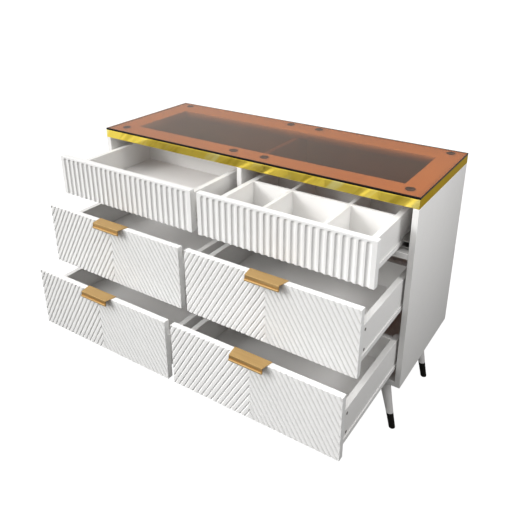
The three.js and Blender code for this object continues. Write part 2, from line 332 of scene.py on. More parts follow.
world = bpy.data.worlds.new("studio_sky")
bpy.context.scene.world = world
world.use_nodes = True
sky_tree = world.node_tree
sky_tree.nodes.clear()
direction = add_node(sky_tree, "ShaderNodeTexCoord").outputs["Generated"]
brightness = SKY_BASE
for patch_way, fade_from, full_from, patch_light in SKY_PATCHES.values():
    towards_patch = {0: direction, 1: Vector(patch_way).normalized()}
    facing = add_node(sky_tree, "ShaderNodeVectorMath", towards_patch, operation="DOT_PRODUCT")
    patch = ramp_between(sky_tree, facing.outputs["Value"], fade_from, full_from, 0.0, patch_light)
    brightness = add_math(sky_tree, "ADD", patch, brightness)
# The backdrop itself is plain white, so the floor's far edge doesn't show
seen_directly = add_node(sky_tree, "ShaderNodeLightPath").outputs["Is Camera Ray"]
as_lit_or_seen = {0: seen_directly, 2: brightness, 3: SKY_AS_SEEN}
strength = add_node(sky_tree, "ShaderNodeMix", as_lit_or_seen, data_type="FLOAT").outputs[0]
sky = add_node(sky_tree, "ShaderNodeBackground", {"Color": SKY_COLOUR, "Strength": strength})
add_node(sky_tree, "ShaderNodeOutputWorld", {"Surface": sky.outputs[0]})
bpy.context.scene.view_settings.view_transform = "Standard"
print("sky patches:", ", ".join(SKY_PATCHES))

# %% Lights and floor
LAMP_PLACE = Vector((1.55, -0.10, 1.40))
LAMP_AIM = Vector((0.6, 0.0, 0.75))
LAMP_SIDE = 0.6
LAMP_WATTS = 9.0
KEY_FROM = Vector((-0.62, -0.60, 0.42))
KEY_STRENGTH = 2.3
KEY_SOFTNESS = math.radians(25)
FLOOR_SIDE = 60.0
FLOOR_THICKNESS = 0.02


def add_light(name, kind, shines, **settings):
    """A light that shines along a direction."""
    data = bpy.data.lights.new(name, kind)
    for key, value in settings.items():
        setattr(data, key, value)
    light = bpy.data.objects.new(name, data)
    bpy.context.scene.collection.objects.link(light)
    light.rotation_euler = shines.to_track_quat("-Z", "Y").to_euler()
    return light


lamp = add_light("end_lamp", "AREA", LAMP_AIM - LAMP_PLACE, size=LAMP_SIDE, energy=LAMP_WATTS)
lamp.location = LAMP_PLACE
key_light = add_light("key_light", "SUN", -KEY_FROM, energy=KEY_STRENGTH, angle=KEY_SOFTNESS)
key_light.visible_glossy = False
key_light.visible_transmission = False
floor = add_block(
    "studio_floor", (-FLOOR_SIDE / 2, -FLOOR_SIDE / 2, -FLOOR_THICKNESS), (FLOOR_SIDE / 2, FLOOR_SIDE / 2, 0),
)
floor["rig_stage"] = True
print("lights:", lamp.name, key_light.name)

# %% [markdown]
# ## Finishes
#
# Each finish is worked out in nodes on the piece's own coordinates, so it needs no picture. What
# several finishes share is made once as a group: sprayed lacquer with its fine orange peel and
# slow drift of tone, and drawn metal whose light and dark streaks are painted highlights and painted
# shade for what it mirrors. A group gives only colour, roughness and height; the shader stays outside it, one
# to each material.

# %% Groups, noise and mixed colours
NUMBER, COLOUR, DIRECTION = "NodeSocketFloat", "NodeSocketColor", "NodeSocketVector"
PLAIN_GREY = (0.8, 0.8, 0.8, 1)
GROUP_OUTPUTS = {"Color": COLOUR, "Roughness": NUMBER, "Height": NUMBER}


def new_group(name, inputs):
    """A group with its sockets made. Gives the group, its inputs inside and its end node."""
    group = bpy.data.node_groups.new(name, "ShaderNodeTree")
    for socket, (kind, value) in inputs.items():
        group.interface.new_socket(name=socket, in_out="INPUT", socket_type=kind).default_value = value
    for socket, kind in GROUP_OUTPUTS.items():
        group.interface.new_socket(name=socket, in_out="OUTPUT", socket_type=kind)
    return group, group.nodes.new("NodeGroupInput").outputs, group.nodes.new("NodeGroupOutput")


def add_noise(tree, place, scale, detail=2.0, roughness=0.5):
    wires = {"Vector": place, "Scale": scale, "Detail": detail, "Roughness": roughness}
    return add_node(tree, "ShaderNodeTexNoise", wires).outputs["Fac"]


def mix_colours(tree, share, first, second):
    wires = {0: share, 6: first, 7: second}
    return add_node(tree, "ShaderNodeMix", wires, data_type="RGBA", blend_type="MIX").outputs[2]


print("a group gives:", ", ".join(GROUP_OUTPUTS))

# %% Sprayed lacquer
CLOUD_SCALE = 2.4
CLOUD_BETWEEN = (0.35, 0.7)
LACQUER_RUB_SCALE = 38.0
LACQUER_RUB = 0.05
RUB_BETWEEN = (0.3, 0.7)
ORANGE_PEEL_SCALE = 620.0

lacquer, given, end = new_group("sprayed_lacquer", {
    "Color": (COLOUR, PLAIN_GREY), "Drift Color": (COLOUR, PLAIN_GREY),
    "Drift": (NUMBER, 0.5), "Roughness": (NUMBER, 0.4),
})
place = add_node(lacquer, "ShaderNodeTexCoord").outputs["Object"]
drift = ramp_between(lacquer, add_noise(lacquer, place, CLOUD_SCALE, detail=3.0), *CLOUD_BETWEEN)
cloud = add_math(lacquer, "MULTIPLY", drift, given["Drift"])
rub_noise = add_noise(lacquer, place, LACQUER_RUB_SCALE, detail=4.0, roughness=0.6)
rub = ramp_between(lacquer, rub_noise, *RUB_BETWEEN, -LACQUER_RUB, LACQUER_RUB)
lacquer.links.new(mix_colours(lacquer, cloud, given["Color"], given["Drift Color"]), end.inputs["Color"])
lacquer.links.new(add_math(lacquer, "ADD", given["Roughness"], rub), end.inputs["Roughness"])
lacquer.links.new(add_noise(lacquer, place, ORANGE_PEEL_SCALE, detail=1.0), end.inputs["Height"])
print("nodes in the lacquer group:", len(lacquer.nodes))

# %% Drawn metal with painted highlights and painted shade
PAINTED_HIGHLIGHTS_BETWEEN = (0.56, 0.68)
PAINTED_SHADE_BETWEEN = (0.36, 0.48)
METAL_RUB_SCALE = 6.0
METAL_RUB = 0.04
DRAWN_LINE_SCALE = 14.0

drawn_metal_with_painted_reflections, given, end = new_group("drawn_metal_with_painted_reflections", {
    "Color": (COLOUR, PLAIN_GREY), "Painted Highlight Color": (COLOUR, PLAIN_GREY), "Painted Shade Color": (COLOUR, PLAIN_GREY),
    "Streaks": (NUMBER, 0.5), "Roughness": (NUMBER, 0.3),
    "Stretch": (DIRECTION, (1, 1, 1)), "Turn": (DIRECTION, (0, 0, 0)),
})
place = add_node(drawn_metal_with_painted_reflections, "ShaderNodeTexCoord").outputs["Object"]
turned = add_node(
    drawn_metal_with_painted_reflections, "ShaderNodeMapping", {"Vector": place, "Rotation": given["Turn"]}, vector_type="POINT",
).outputs[0]
stretched = add_node(
    drawn_metal_with_painted_reflections, "ShaderNodeVectorMath", {0: turned, 1: given["Stretch"]}, operation="MULTIPLY",
).outputs[0]
# The light bands paint highlights and the dark bands paint shade into the colour. They stand for the bright
# and dark surroundings that polished metal mirrors.
banding = add_noise(drawn_metal_with_painted_reflections, stretched, 1.0, detail=3.0, roughness=0.6)
painted_highlight_bands = ramp_between(drawn_metal_with_painted_reflections, banding, *PAINTED_HIGHLIGHTS_BETWEEN)
painted_shade_bands = ramp_between(drawn_metal_with_painted_reflections, banding, *PAINTED_SHADE_BETWEEN, 1.0, 0.0)
painted_highlight_share = add_math(drawn_metal_with_painted_reflections, "MULTIPLY", painted_highlight_bands, given["Streaks"])
painted_shade_share = add_math(drawn_metal_with_painted_reflections, "MULTIPLY", painted_shade_bands, given["Streaks"])
with_painted_highlights = mix_colours(drawn_metal_with_painted_reflections, painted_highlight_share, given["Color"], given["Painted Highlight Color"])
with_painted_shade = mix_colours(drawn_metal_with_painted_reflections, painted_shade_share, with_painted_highlights, given["Painted Shade Color"])
rub_noise = add_noise(drawn_metal_with_painted_reflections, stretched, METAL_RUB_SCALE)
rub = ramp_between(drawn_metal_with_painted_reflections, rub_noise, *RUB_BETWEEN, -METAL_RUB, METAL_RUB)
drawn_metal_with_painted_reflections.links.new(with_painted_shade, end.inputs["Color"])
drawn_metal_with_painted_reflections.links.new(add_math(drawn_metal_with_painted_reflections, "ADD", given["Roughness"], rub), end.inputs["Roughness"])
drawn_metal_with_painted_reflections.links.new(add_noise(drawn_metal_with_painted_reflections, stretched, DRAWN_LINE_SCALE), end.inputs["Height"])
print("nodes in the metal group:", len(drawn_metal_with_painted_reflections.nodes))

# %% Materials from the groups
FINE_BUMP = 0.01 * MM
RUBBER_BUMP = 0.03 * MM
FINISH = {}


def new_material(name):
    """A material with a Principled shader wired to its output."""
    material = bpy.data.materials.new(name)
    material.use_nodes = True
    material.node_tree.nodes.clear()
    shader = add_node(material.node_tree, "ShaderNodeBsdfPrincipled")
    add_node(material.node_tree, "ShaderNodeOutputMaterial", {"Surface": shader.outputs[0]})
    FINISH[name] = material
    return material, shader


def add_finish(name, group, bump, settings, constants):
    """A finish whose shader is fed by a shared group, with a bump of so many metres."""
    material, shader = new_material(name)
    tree = material.node_tree
    source = add_node(tree, "ShaderNodeGroup", node_tree=group)
    for socket, value in settings.items():
        source.inputs[socket].default_value = value
    relief = add_node(
        tree, "ShaderNodeBump", {"Height": source.outputs["Height"], "Distance": bump, "Strength": 1.0},
    )
    tree.links.new(source.outputs["Color"], shader.inputs["Base Color"])
    tree.links.new(source.outputs["Roughness"], shader.inputs["Roughness"])
    tree.links.new(relief.outputs[0], shader.inputs["Normal"])
    for socket, value in constants.items():
        shader.inputs[socket].default_value = value
    return material, shader


def lacquered(name, colour, drift_colour, drift, roughness, bump=FINE_BUMP, shine=0.5):
    """A sprayed finish whose tone drifts slowly between two colours."""
    settings = {
        "Color": (*colour, 1), "Drift Color": (*drift_colour, 1), "Drift": drift, "Roughness": roughness,
    }
    return add_finish(name, lacquer, bump, settings, {"Specular IOR Level": shine})


def metal(
    name, colour, painted_highlight_colour, painted_shade_colour, streaks, roughness, stretch,
    turn=(0, 0, 0), grazing_tint=(1, 1, 1),
):
    """A drawn metal whose light and dark streaks are painted reflections. Its turn is in degrees; the grazing
    tint colours what it mirrors at a flat angle.
    """
    settings = {
        "Color": (*colour, 1), "Painted Highlight Color": (*painted_highlight_colour, 1), "Painted Shade Color": (*painted_shade_colour, 1),
        "Streaks": streaks, "Roughness": roughness, "Stretch": stretch,
        "Turn": [math.radians(angle) for angle in turn],
    }
    constants = {"Metallic": 1.0, "Specular Tint": (*grazing_tint, 1)}
    return add_finish(name, drawn_metal_with_painted_reflections, FINE_BUMP, settings, constants)


# %% The island's finishes
BAND_STREAKS = {"stretch": (2.6, 2.6, 20.0), "turn": (38, 38, 0)}

lacquered("white_board", (0.79, 0.783, 0.772), (0.73, 0.717, 0.70), drift=0.5, roughness=0.42)
lacquered("white_front", (0.80, 0.798, 0.79), (0.775, 0.771, 0.762), drift=0.4, roughness=0.38)
lacquered("white_leg", (0.74, 0.731, 0.722), (0.68, 0.667, 0.653), drift=0.5, roughness=0.4)
lacquered("black_tip", (0.006, 0.005, 0.0045), (0.012, 0.010, 0.009), drift=0.6, roughness=0.4, shine=0.25)
lacquered("pad_rubber", (0.06, 0.045, 0.04), (0.10, 0.08, 0.07), drift=0.6, roughness=0.7, bump=RUBBER_BUMP)
# The band's bright and dark streaks are painted reflections of the studio around it.
metal(
    "gold_trim", (0.88, 0.68, 0.10), (0.99, 0.92, 0.38), (0.60, 0.44, 0.045),
    streaks=0.8, roughness=0.12, **BAND_STREAKS,
)
# The end bars get a darker copy of the band's finish with fewer streaks: painted shade for the island's
# dimmer ends.
metal(
    "gold_trim_end_painted_shade", (0.70, 0.49, 0.06), (0.84, 0.66, 0.18), (0.60, 0.42, 0.045),
    streaks=0.4, roughness=0.12, grazing_tint=(0.71, 0.62, 0.38), **BAND_STREAKS,
)
metal(
    "gold_pull", (0.64, 0.43, 0.185), (0.69, 0.48, 0.22), (0.58, 0.38, 0.15),
    streaks=0.4, roughness=0.55, stretch=(6.0, 180.0, 180.0),
)
metal(
    "channel_steel", (0.62, 0.62, 0.61), (0.72, 0.72, 0.71), (0.52, 0.52, 0.51),
    streaks=0.6, roughness=0.36, stretch=(120.0, 5.0, 120.0),
)
metal(
    "screw_steel", (0.16, 0.14, 0.13), (0.24, 0.22, 0.21), (0.12, 0.10, 0.09),
    streaks=0.5, roughness=0.4, stretch=(90.0, 90.0, 90.0),
)
print("finishes:", ", ".join(FINISH))

# %% [markdown]
# ## What the floor shows and what it mirrors
#
# A white floor would throw so much light up into the grooves that they would lose their shade. So
# the floor is dark to the light that falls on it, and glows white for the camera alone. Polished
# metal mirrors a glow of its own at each side of the island, as from a card laid on the floor.

# %% Light the floor by what looks at it
FLOOR_GLOW = 0.97
RIGHT_CARD_GLOW = 0.35
RIGHT_CARD_FROM = 0.7
RIGHT_CARD_FULL = 1.1
LEFT_CARD_GLOW = 0.80
LEFT_CARD_FROM = -1.2
LEFT_CARD_FULL = -1.7

floor_finish, floor_shader = lacquered(
    "floor_finish", (0.10, 0.10, 0.10), (0.095, 0.095, 0.095), drift=0.5, roughness=0.9,
)
floor_tree = floor_finish.node_tree
seen_by = add_node(floor_tree, "ShaderNodeLightPath").outputs
floor_place = add_node(floor_tree, "ShaderNodeTexCoord").outputs["Object"]
across = add_node(floor_tree, "ShaderNodeSeparateXYZ", {"Vector": floor_place}).outputs["X"]
right_card = ramp_between(floor_tree, across, RIGHT_CARD_FROM, RIGHT_CARD_FULL, 0.0, RIGHT_CARD_GLOW)
left_card = ramp_between(floor_tree, across, LEFT_CARD_FULL, LEFT_CARD_FROM, LEFT_CARD_GLOW, 0.0)
cards = add_math(floor_tree, "ADD", right_card, left_card)
mirrored = add_math(floor_tree, "MULTIPLY", seen_by["Is Glossy Ray"], cards)
shown = add_math(floor_tree, "MULTIPLY", seen_by["Is Camera Ray"], FLOOR_GLOW)
glow = add_math(floor_tree, "ADD", shown, mirrored)
floor_shader.inputs["Emission Color"].default_value = (1, 1, 1, 1)
floor_tree.links.new(glow, floor_shader.inputs["Emission Strength"])
floor.data.materials.append(floor_finish)
print("cards start at metres:", LEFT_CARD_FROM, RIGHT_CARD_FROM)

# %% [markdown]
# ## The glass and its edge
#
# The top is float glass tinted a deep orange brown. A shader that colours glass by its surface is
# enough for the broad faces, but a shadow ray would stop at it and leave the frame below black.
# So shadow rays, and light that has bounced off a board, meet a plain tint instead, and a darker
# one where they come from inside the cabinet, which stays dark behind the drawers. Along the edge
# one looks through the whole width of the sheet, where the tint adds up to almost black, so the
# edge is a finish of its own.

# %% Make the tinted glass
GLASS_TINT = (0.70, 0.40, 0.20)
DEEPER_TINT = (0.658, 0.36, 0.18)
TINT_CLOUD_SCALE = 1.6
TINT_CLOUD_BETWEEN = (0.3, 0.7)
SMEAR_SCALE = 9.0
SMEAR_BETWEEN = (0.4, 0.8)
SMEAR_ROUGHNESS = 0.012
GLASS_IOR = 1.52
SHADOW_TINT = (0.90, 0.65, 0.43)
DEEP_SHADOW_TINT = (0.26, 0.14, 0.09)
DEEP_BETWEEN = (0.015, 0.05)

glass_finish, glass_shader = new_material("tinted_glass")
glass_tree = glass_finish.node_tree
glass_place = add_node(glass_tree, "ShaderNodeTexCoord").outputs["Object"]
cloud_noise = add_noise(glass_tree, glass_place, TINT_CLOUD_SCALE)
tint_cloud = ramp_between(glass_tree, cloud_noise, *TINT_CLOUD_BETWEEN)
tint = mix_colours(glass_tree, tint_cloud, (*GLASS_TINT, 1), (*DEEPER_TINT, 1))
smear_noise = add_noise(glass_tree, glass_place, SMEAR_SCALE, detail=3.0)
smear = ramp_between(glass_tree, smear_noise, *SMEAR_BETWEEN, 0.0, SMEAR_ROUGHNESS)
glass_tree.links.new(tint, glass_shader.inputs["Base Color"])
glass_tree.links.new(smear, glass_shader.inputs["Roughness"])
glass_shader.inputs["Transmission Weight"].default_value = 1.0
glass_shader.inputs["IOR"].default_value = GLASS_IOR
print("glass tint:", GLASS_TINT)

# %% Let light through to the frame below
light_path = add_node(glass_tree, "ShaderNodeLightPath").outputs
depth_below = ramp_between(glass_tree, light_path["Ray Length"], *DEEP_BETWEEN)
shadow_colour = mix_colours(glass_tree, depth_below, (*SHADOW_TINT, 1), (*DEEP_SHADOW_TINT, 1))
plain_tint = add_node(glass_tree, "ShaderNodeBsdfTransparent", {"Color": shadow_colour}).outputs[0]
lights_a_board = add_math(glass_tree, "ADD", light_path["Is Shadow Ray"], light_path["Is Diffuse Ray"])
glass_or_tint = {0: lights_a_board, 1: glass_shader.outputs[0], 2: plain_tint}
glass_mix = add_node(glass_tree, "ShaderNodeMixShader", glass_or_tint).outputs[0]
glass_tree.links.new(glass_mix, glass_tree.nodes["Material Output"].inputs["Surface"])
lacquered(
    "glass_edge", (0.004, 0.003, 0.003), (0.008, 0.005, 0.004), drift=0.6, roughness=0.2, bump=0.0, shine=0.1,
)
print("light takes the deep tint between metres:", DEEP_BETWEEN)

# %% [markdown]
# ## Boards with eased edges
#
# A lacquered board never has a knife edge: its edges are sanded to a small radius before
# spraying, and that radius draws the thin light line round each board. A bevel shader could fake
# the line, but only real roundings show in the outline too. Each board is a block of the frame's
# size with its edges rounded. Boards that are notched or have a window are cut with a second block
# first, as they are at the saw.

# %% Plain cabinet boards
BOARD_ROUNDING = 0.9 * MM
CABINET_BOARDS = {
    "side_panel_left": "left_end_board",
    "side_panel_right": "right_end_board",
    "back_panel": "back_board",
    "bottom_panel": "floor_board",
}


def ease_board(piece, node):
    ease_edges(piece, BOARD_ROUNDING)
    smooth_faces(piece)
    fit_piece(piece, node, "white_board")


for node, name in CABINET_BOARDS.items():
    ease_board(add_block(name, *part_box(node)), node)
print("plain cabinet boards:", len(CABINET_BOARDS))

# %% Notched boards and the board with the window
CUT_PAST = 5 * MM
JOINT_GAP = 0.3 * MM
FRAME_END_WIDTH = 78 * MM
FRAME_FRONT_WIDTH = 91 * MM
FRAME_BACK_WIDTH = 87 * MM

rail_low, rail_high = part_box("front_rail")
wall_low, wall_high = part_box("centre_partition")
joint_face = (rail_low.y + rail_high.y) / 2
partition = add_block("middle_wall", wall_low, wall_high)
cut_block(
    partition, (wall_low.x - CUT_PAST, wall_low.y - CUT_PAST, rail_low.z - JOINT_GAP),
    (wall_high.x + CUT_PAST, joint_face, rail_high.z + JOINT_GAP),
)
rail = add_block("rail_between_rows", rail_low, rail_high)
cut_block(
    rail, (wall_low.x - JOINT_GAP, joint_face - JOINT_GAP, rail_low.z - CUT_PAST),
    (wall_high.x + JOINT_GAP, rail_high.y + CUT_PAST, rail_high.z + CUT_PAST),
)
# The window's margins are measured from the outside of the gold band
frame_low, frame_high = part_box("top_frame")
band_low, band_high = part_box("edge_trim")
window_frame = add_block("window_frame", frame_low, frame_high)
cut_block(
    window_frame, (band_low.x + FRAME_END_WIDTH, band_low.y + FRAME_FRONT_WIDTH, frame_low.z - CUT_PAST),
    (band_high.x - FRAME_END_WIDTH, band_high.y - FRAME_BACK_WIDTH, frame_high.z + CUT_PAST),
)
for piece, node in ((partition, "centre_partition"), (rail, "front_rail"), (window_frame, "top_frame")):
    ease_board(piece, node)
print("window frame triangles:", count_triangles(window_frame))

# %% Drawer boxes
SIDES = {"left": -1, "right": 1}
TOP_DRAWERS = [f"top_{column}" for column in SIDES]
DEEP_DRAWERS = [f"{row}_{column}" for row in ("middle", "bottom") for column in SIDES]
DRAWERS = TOP_DRAWERS + DEEP_DRAWERS
BOX_BOARDS = {"base": "tray", "side_left": "left_wall", "side_right": "right_wall", "back": "rear_wall"}

for drawer in DRAWERS:
    for part, word in BOX_BOARDS.items():
        node = f"{drawer}_drawer_{part}"
        ease_board(add_block(f"{drawer}_{word}", *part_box(node)), node)
print("drawer box boards:", len(BOX_BOARDS) * len(DRAWERS))

# %% [markdown]
# ## The dividers
#
# The top right drawer has two long dividers crossed by a short one. The three boards are halved
# into each other and glued, so here they are joined to one piece and only then eased: rounded
# before, they would show a groove at each crossing.

# %% Divider crate
DIVIDER_THICKNESS = 12 * MM
DIVIDER_SPACING = 196 * MM
CROSS_FROM_CRATE_FRONT = 205.7 * MM

crate_low, crate_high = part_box("top_right_divider_crate")
crate_middle = (crate_low.x + crate_high.x) / 2
cross_near = crate_low.y + CROSS_FROM_CRATE_FRONT
crate = add_block(
    "divider_crate", (crate_low.x, cross_near, crate_low.z),
    (crate_high.x, cross_near + DIVIDER_THICKNESS, crate_high.z),
)
for side in SIDES.values():
    near_face = crate_middle + side * DIVIDER_SPACING / 2 - DIVIDER_THICKNESS / 2
    long_board = add_block(
        "long_divider", (near_face, crate_low.y, crate_low.z),
        (near_face + DIVIDER_THICKNESS, crate_high.y, crate_high.z),
    )
    combine(crate, long_board, "UNION")
ease_board(crate, "top_right_divider_crate")
print("crate triangles:", count_triangles(crate))

# %% [markdown]
# ## Fluted fronts
#
# The two upper fronts are milled with a round-nosed cutter that runs in from the lower edge and
# stops just below the upper one. A bump could draw the flutes, but their shade and the wavy lower
# edge need real hollows. The cutter here is a cylinder whose upper rim is rounded almost to its
# middle. An array sets out all of a front's flutes, so that one cut makes them at once.

# %% Sizes and a row of cutters
FRONT_ROUNDING = 1.0 * MM
FRONT_ROUNDING_STEPS = 3
FLUTE_END_WIDTH = 10 * MM
FLUTE_PITCH = 21.8 * MM
FLUTE_RADIUS = 9 * MM
FLUTE_DEPTH = 4.5 * MM
FLUTE_FROM_TOP = 5 * MM
FLUTE_SIDES = 64
NOSE_STEPS = 14
NOSE_SHARE = 0.98

front_low, front_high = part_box("top_left_drawer_front")
fluted_width = front_high.x - front_low.x - 2 * (FLUTE_RADIUS + FLUTE_END_WIDTH)
flute_count = math.floor(fluted_width / FLUTE_PITCH) + 1
first_flute = (front_low.x + front_high.x) / 2 - (flute_count - 1) / 2 * FLUTE_PITCH
cutter_low = front_low.z - CUT_PAST
cutter_high = front_high.z - FLUTE_FROM_TOP
fluted = add_block("top_left_front", front_low, front_high)
ease_edges(fluted, FRONT_ROUNDING, FRONT_ROUNDING_STEPS)

deselect_all()
bpy.ops.mesh.primitive_cylinder_add(
    vertices=FLUTE_SIDES, radius=FLUTE_RADIUS, depth=cutter_high - cutter_low,
    location=(first_flute, front_low.y + FLUTE_DEPTH - FLUTE_RADIUS, (cutter_low + cutter_high) / 2),
)
cutters = named("flute_cutters")
edit_all(cutters)
pick_vertices(cutters, lambda place: near(place.z, cutter_high))
bpy.ops.mesh.bevel(
    offset=FLUTE_RADIUS * NOSE_SHARE, segments=NOSE_STEPS, profile=0.5, affect="EDGES", clamp_overlap=True,
)
leave_edit()
apply_modifier(
    cutters, "ARRAY", count=flute_count, use_relative_offset=False, use_constant_offset=True,
    constant_offset_displace=(FLUTE_PITCH, 0, 0),
)
print("flutes in a front:", flute_count)


# %% Mill a front and copy it
def middle_of(node):
    low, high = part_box(node)
    return (low + high) / 2


def copy_piece(piece, name, shift):
    """A copy with its own mesh, moved by the shift."""
    select_only(piece)
    bpy.ops.object.duplicate(linked=False)
    bpy.context.object.location = shift
    return named(name)


def fit_with_copies(piece, drawers, word, part, slot):
    """Fits a piece to the first drawer's part, and a copy of it to that part of each other drawer."""
    first, *others = drawers
    pieces = {first: piece}
    for drawer in others:
        shift = middle_of(f"{drawer}_{part}") - middle_of(f"{first}_{part}")
        pieces[drawer] = copy_piece(piece, f"{drawer}_{word}", shift)
    for drawer, drawer_piece in pieces.items():
        fit_piece(drawer_piece, f"{drawer}_{part}", slot)


combine(fluted, cutters, "DIFFERENCE")
smooth_faces(fluted, sharper_than=35)
fit_with_copies(fluted, TOP_DRAWERS, "front", "drawer_front", "white_front")
print("fluted front triangles:", count_triangles(fluted))

# %% [markdown]
# ## Chevron fronts
#
# The four deep fronts carry shallow V grooves that rise from both sides to the middle. A V cutter
# leaves two walls that meet in a line and take a shade each, as no painted line would. Each half
# is cut on its own with a slab of bars that ends at the centre line, so that the two sets of
# grooves meet in a clean point. The bar flares out just under the surface, which eases the
# groove's edges in the same cut.

# %% Set out the grooves
GROOVE_WIDTH = 6 * MM
GROOVE_DEPTH = 3 * MM
GROOVE_PITCH = 15 * MM
GROOVE_FIRST_FROM_TOP = 7 * MM
GROOVE_ANGLE = math.radians(59)
GROOVE_FLARE = 0.35 * MM
BAR_PAST_SIDE = 40 * MM
BAR_PAST_MIDDLE = 20 * MM
MERGE_WITHIN = 0.001 * MM

front_low, front_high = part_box("middle_left_drawer_front")
front_middle = (front_low.x + front_high.x) / 2
half_width = (front_high.x - front_low.x) / 2
apex_rise = GROOVE_PITCH / math.cos(GROOVE_ANGLE)
arm_drop = half_width * math.tan(GROOVE_ANGLE)
bar_length = half_width / math.cos(GROOVE_ANGLE) + BAR_PAST_SIDE
first_apex = front_high.z - GROOVE_FIRST_FROM_TOP
bars_below = math.floor((first_apex - front_low.z) / apex_rise) + 1
bars_above = math.floor((arm_drop + GROOVE_FIRST_FROM_TOP) / apex_rise)
# The bar's half width at each depth, from outside the front inwards
groove_profile = [
    (-GROOVE_DEPTH, GROOVE_WIDTH / 2 + GROOVE_FLARE),
    (0, GROOVE_WIDTH / 2 + GROOVE_FLARE),
    (GROOVE_FLARE, GROOVE_WIDTH / 2 * (1 - GROOVE_FLARE / GROOVE_DEPTH)),
    (GROOVE_DEPTH, 0),
]
print("grooves in each half:", bars_above + bars_below)


# %% Shape the bars and cut
def v_bar():
    """One upright bar, two metres wide at first and then drawn in to the groove's profile."""
    bar = add_block("groove_bars", (-1, -GROOVE_DEPTH, -bar_length), (1, GROOVE_DEPTH, BAR_PAST_MIDDLE))
    for depth, _ in groove_profile[1:3]:
        edit_all(bar)
        bpy.ops.mesh.bisect(plane_co=(0, depth, 0), plane_no=(0, 1, 0))
        leave_edit()
    edit_all(bar)
    for depth, half in groove_profile:
        pick_vertices(bar, lambda place: near(place.y, depth))
        bpy.ops.transform.resize(value=(half, 1, 1), center_override=(0, 0, 0))
    bpy.ops.mesh.select_all(action="SELECT")
    bpy.ops.mesh.remove_doubles(threshold=MERGE_WITHIN)
    leave_edit()
    return bar


def groove_bars(side):
    """All the V bars of one half, from the highest down, trimmed at the centre line."""
    bar = v_bar()
    select_only(bar)
    bar.rotation_euler = (0, side * (GROOVE_ANGLE - math.pi / 2), 0)
    bar.location = (front_middle, front_low.y, first_apex + bars_above * apex_rise)
    bpy.ops.object.transform_apply(location=True, rotation=True, scale=True)
    apply_modifier(
        bar, "ARRAY", count=bars_above + bars_below, use_relative_offset=False, use_constant_offset=True,
        constant_offset_displace=(0, 0, -apex_rise),
    )
    edit_all(bar)
    bpy.ops.mesh.bisect(
        plane_co=(front_middle, 0, 0), plane_no=(-side, 0, 0), use_fill=True, clear_outer=True,
    )
    leave_edit()
    return bar


chevron = add_block("middle_left_front", front_low, front_high)
ease_edges(chevron, FRONT_ROUNDING, FRONT_ROUNDING_STEPS)
for side in SIDES.values():
    combine(chevron, groove_bars(side), "DIFFERENCE")
smooth_faces(chevron, sharper_than=30)
fit_with_copies(chevron, DEEP_DRAWERS, "front", "drawer_front", "white_front")
print("chevron front triangles:", count_triangles(chevron))

# %% [markdown]
# ## Edge pulls
#
# Each deep front has a pull bent from one thin brass plate: it lies on the front's upper edge,
# folds down behind it and curves down in front to a lip with a round bead. A sheet-metal worker
# would fold it, so the plate here starts as a flat sheet, its two ends are folded down, the folds
# are rounded and only then does it get its thickness. The ends are sawn at a slant last.

# %% Fold the plate
PULL_BACK_WIDTH = 124 * MM
PULL_LIP_WIDTH = 108 * MM
PULL_PLATE = 1.6 * MM
PULL_BEND = 1.2 * MM
PULL_BEND_STEPS = 6
PULL_BACK_BEND = 1.9 * MM
PULL_BACK_BEND_STEPS = 4
PULL_BACK_HEIGHT = 15.9 * MM
BEAD_RADIUS = 3.2 * MM
BEAD_SIDES = 40
PULL_ROUNDING = 0.3 * MM

pull_low, pull_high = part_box("middle_left_handle")
pull_middle = (pull_low.x + pull_high.x) / 2
bead_height = pull_low.z + BEAD_RADIUS
lip_face = pull_low.y + 2 * BEAD_RADIUS - PULL_PLATE


def pick_fold(piece, at_y):
    """Picks the line of the sheet's top that lies at one depth."""
    edit_all(piece)
    pick_vertices(piece, lambda place: near(place.y, at_y) and near(place.z, pull_high.z))


def fold_edge_down(piece, at_y, to_z):
    """Folds the edge that lies at one depth straight down to a height."""
    pick_fold(piece, at_y)
    bpy.ops.mesh.extrude_region_move(TRANSFORM_OT_translate={"value": (0, 0, to_z - pull_high.z)})
    leave_edit()


def round_fold(piece, at_y, radius, steps):
    pick_fold(piece, at_y)
    bpy.ops.mesh.bevel(offset=radius, segments=steps, profile=0.5, affect="EDGES")
    leave_edit()


deselect_all()
bpy.ops.mesh.primitive_plane_add(size=1, location=(pull_middle, (lip_face + pull_high.y) / 2, pull_high.z))
bpy.context.object.scale = (PULL_BACK_WIDTH, pull_high.y - lip_face, 1)
pull = named("middle_left_pull")
fold_edge_down(pull, lip_face, bead_height)
fold_edge_down(pull, pull_high.y, pull_high.z - PULL_BACK_HEIGHT)
round_fold(pull, lip_face, PULL_BEND, PULL_BEND_STEPS)
round_fold(pull, pull_high.y, PULL_BACK_BEND, PULL_BACK_BEND_STEPS)
turn_faces_out(pull)
# The plate thickens downwards, whichever way its faces look
upward_area = sum(face.normal.z * face.area for face in pull.data.polygons)
thicken_from = -1 if upward_area > 0 else 1
apply_modifier(pull, "SOLIDIFY", thickness=PULL_PLATE, offset=thicken_from, use_even_offset=True)
turn_faces_out(pull)
print("folded plate in mm:", [round(v / MM, 1) for v in pull.dimensions])

